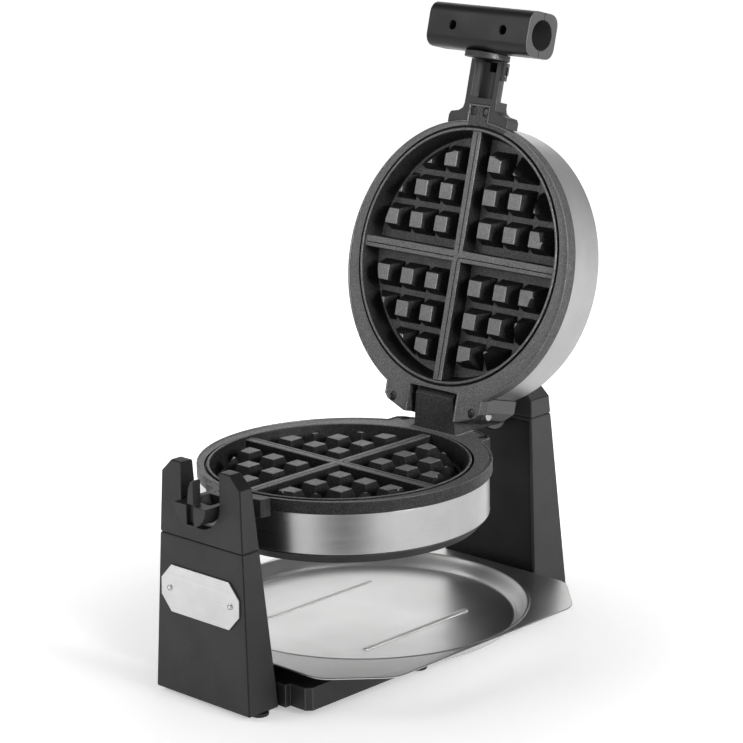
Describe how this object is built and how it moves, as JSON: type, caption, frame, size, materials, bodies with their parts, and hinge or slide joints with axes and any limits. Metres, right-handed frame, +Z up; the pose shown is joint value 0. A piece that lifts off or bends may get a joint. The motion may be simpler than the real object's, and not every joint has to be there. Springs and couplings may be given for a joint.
{
  "type": "waffle maker",
  "caption": "Rotating round waffle maker, lid open: two gridded plates in steel housings on a black stand with a drip tray and bar handle.",
  "frame": {"origin": "centre of the bounding box on the plane that the feet stand on", "axes": "+Z up; +Y from the handle and cradle side to the hinge side; +X to the right seen from the handle side"},
  "size_m": [0.256, 0.3729, 0.4804],
  "materials": {
    "black_plastic": "fine matt moulded texture",
    "nonstick": "cast aluminium with a dark speckled non-stick coating",
    "steel": "brushed round the housing",
    "dark_trim": "satin dark grey",
    "tray_steel": "satin pressed sheet",
    "heater": "dull heat-stained tube",
    "rubber": "matt",
    "screw": "blackened",
    "red_lamp": "clear red lens",
    "green_lamp": "clear green lens"
  },
  "bodies": {
    "stand": {"front_upright": "black_plastic", "front_inner_panel": "black_plastic", "front_cradle_cap": "black_plastic", "cradle_liner": "dark_trim", "nameplate": "steel", "nameplate_rivet_left": "steel", "nameplate_rivet_right": "steel", "rear_upright": "black_plastic", "rear_inner_panel": "black_plastic", "rear_pivot_cap": "black_plastic", "rear_pivot_bush": "dark_trim", "cord_gland": "rubber", "control_bezel": "steel", "power_lamp": "red_lamp", "ready_lamp": "green_lamp", "base_deck": "black_plastic", "base_plate": "black_plastic", "front_foot_left": "rubber", "front_foot_right": "rubber", "rear_foot_left": "rubber", "rear_foot_right": "rubber", "deck_foot_left": "rubber", "deck_foot_right": "rubber"},
    "head": {"lower_waffle_plate": "nonstick", "lower_steel_band": "steel", "lower_edge_ring": "dark_trim", "lower_face_cover": "steel", "lower_heating_element": "heater", "lower_thermostat": "heater", "lower_plate_screw_1": "screw", "lower_plate_screw_2": "screw", "lower_plate_screw_3": "screw", "lower_plate_screw_4": "screw", "hinge_block": "black_plastic", "hinge_pin": "steel", "pivot_shaft": "black_plastic", "lower_stem": "black_plastic"},
    "lid": {"upper_waffle_plate": "nonstick", "upper_steel_band": "steel", "upper_edge_ring": "dark_trim", "upper_face_cover": "steel", "upper_heating_element": "heater", "upper_thermostat": "heater", "upper_plate_screw_1": "screw", "upper_plate_screw_2": "screw", "upper_plate_screw_3": "screw", "upper_plate_screw_4": "screw", "hinge_lug_left": "steel", "hinge_lug_right": "steel", "handle_stem": "black_plastic", "handle_collar": "black_plastic", "latch_clip": "black_plastic", "grip_front_shell": "black_plastic", "grip_rear_shell": "black_plastic", "grip_screw_left": "screw", "grip_screw_right": "screw"},
    "tray": {"drip_tray": "tray_steel"},
    "knob": {"browning_knob": "black_plastic"}
  },
  "joints": [
    {"name": "head_flip", "type": "hinge", "parent": "stand", "child": "head", "pos_m": [0, -0.0327, 0.1555], "axis": [0, 1, 0], "range_deg": [0, 90]},
    {"name": "lid_hinge", "type": "hinge", "parent": "head", "child": "lid", "pos_m": [0, 0.0856, 0.1717], "axis": [1, 0, 0], "range_deg": [0, 104.66]},
    {"name": "tray_slide", "type": "slide", "parent": "stand", "child": "tray", "axis": [1, 0, 0], "range_m": [0, 0.18]},
    {"name": "knob_turn", "type": "hinge", "parent": "stand", "child": "knob", "pos_m": [0, 0.17052, 0.1055], "axis": [0, 0.9971, 0.0758], "range_deg": [-135, 135]}
  ]
}
